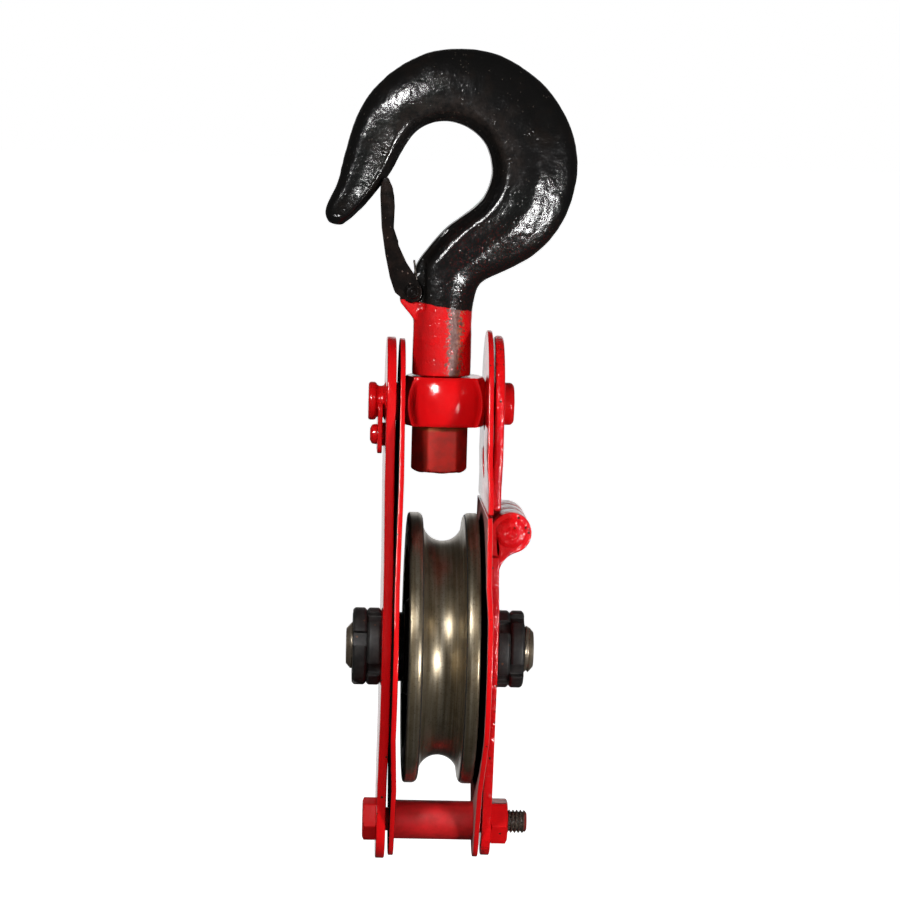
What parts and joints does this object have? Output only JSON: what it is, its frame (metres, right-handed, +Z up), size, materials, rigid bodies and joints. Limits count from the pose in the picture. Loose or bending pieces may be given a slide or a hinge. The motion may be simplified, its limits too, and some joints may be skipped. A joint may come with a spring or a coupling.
{
  "type": "snatch block",
  "caption": "Side-opening snatch block: a grooved sheave between strapped cheeks, hung from a swivel hook with a sprung latch.",
  "frame": {"origin": "top of the inside of the hook's bowl, on the axis of the hook's shank", "axes": "+Z up the hook's shank, +X towards the side that opens, Y across the side straps"},
  "size_m": [0.1057, 0.119, 0.3447],
  "materials": {
    "black_forging": "gloss paint over a rough forging",
    "black_sheet": "gloss paint on sheet",
    "spring_steel": "bright drawn wire",
    "red_nut": "dull primer-like paint with rust at the edges",
    "red_casting": "glossy, lightly pitted enamel",
    "red_enamel": "glossy hand-applied enamel with runs",
    "red_satin": "satin enamel",
    "red_bolt": "enamel over the head, bare dark thread",
    "turned_steel": "turned steel with a brown oxide film",
    "bush_bronze": "plain bronze",
    "axle_steel": "bright faced steel",
    "black_oxide": "matt black oxide with rust specks"
  },
  "bodies": {
    "hook": {"hook": "black_forging", "hook_nut": "red_nut", "latch_rivet": "black_sheet", "latch_spring": "spring_steel"},
    "latch": {"hook_latch": "black_sheet"},
    "crosshead": {"crosshead": "red_casting"},
    "side_frame": {"left_strap": "red_enamel", "left_cheek": "red_enamel", "right_strap": "red_enamel", "right_cheek": "red_enamel", "hinge_pin": "red_enamel", "axle": "axle_steel", "left_collar": "black_oxide", "right_collar": "black_oxide", "left_inner_nut": "black_oxide", "left_outer_nut": "black_oxide", "right_inner_nut": "black_oxide", "right_outer_nut": "black_oxide", "tie_bolt": "red_bolt", "tie_nut": "red_enamel", "tie_spacer": "red_satin", "keeper_plate": "red_enamel", "keeper_washer": "red_enamel", "keeper_screw": "red_enamel"},
    "sheave": {"sheave": "turned_steel", "sheave_bush": "bush_bronze"},
    "side_link": {"link_strap": "red_enamel", "link_cheek": "red_enamel"}
  },
  "joints": [
    {"name": "latch_hinge", "type": "hinge", "parent": "hook", "child": "latch", "pos_m": [-0.0132, 0, -0.0716], "axis": [0, 1, 0], "range_deg": [0, 33], "stiffness_Nm_per_rad": 0.02, "springref_deg": -22.92, "deforming": ["latch_spring"]},
    {"name": "hook_swivel", "type": "hinge", "parent": "hook", "child": "crosshead", "pos_m": [0, 0, -0.1183], "axis": [0, 0, 1], "continuous": true},
    {"name": "frame_tilt", "type": "hinge", "parent": "crosshead", "child": "side_frame", "pos_m": [0.0016, 0, -0.1183], "axis": [1, 0, 0], "range_deg": [-85, 85]},
    {"name": "sheave_spin", "type": "hinge", "parent": "side_frame", "child": "sheave", "pos_m": [0.0024, 0, -0.223], "axis": [1, 0, 0], "continuous": true},
    {"name": "side_opening", "type": "hinge", "parent": "side_frame", "child": "side_link", "pos_m": [0.0301, 0, -0.1704], "axis": [0, 1, 0], "range_deg": [0, 110]}
  ]
}
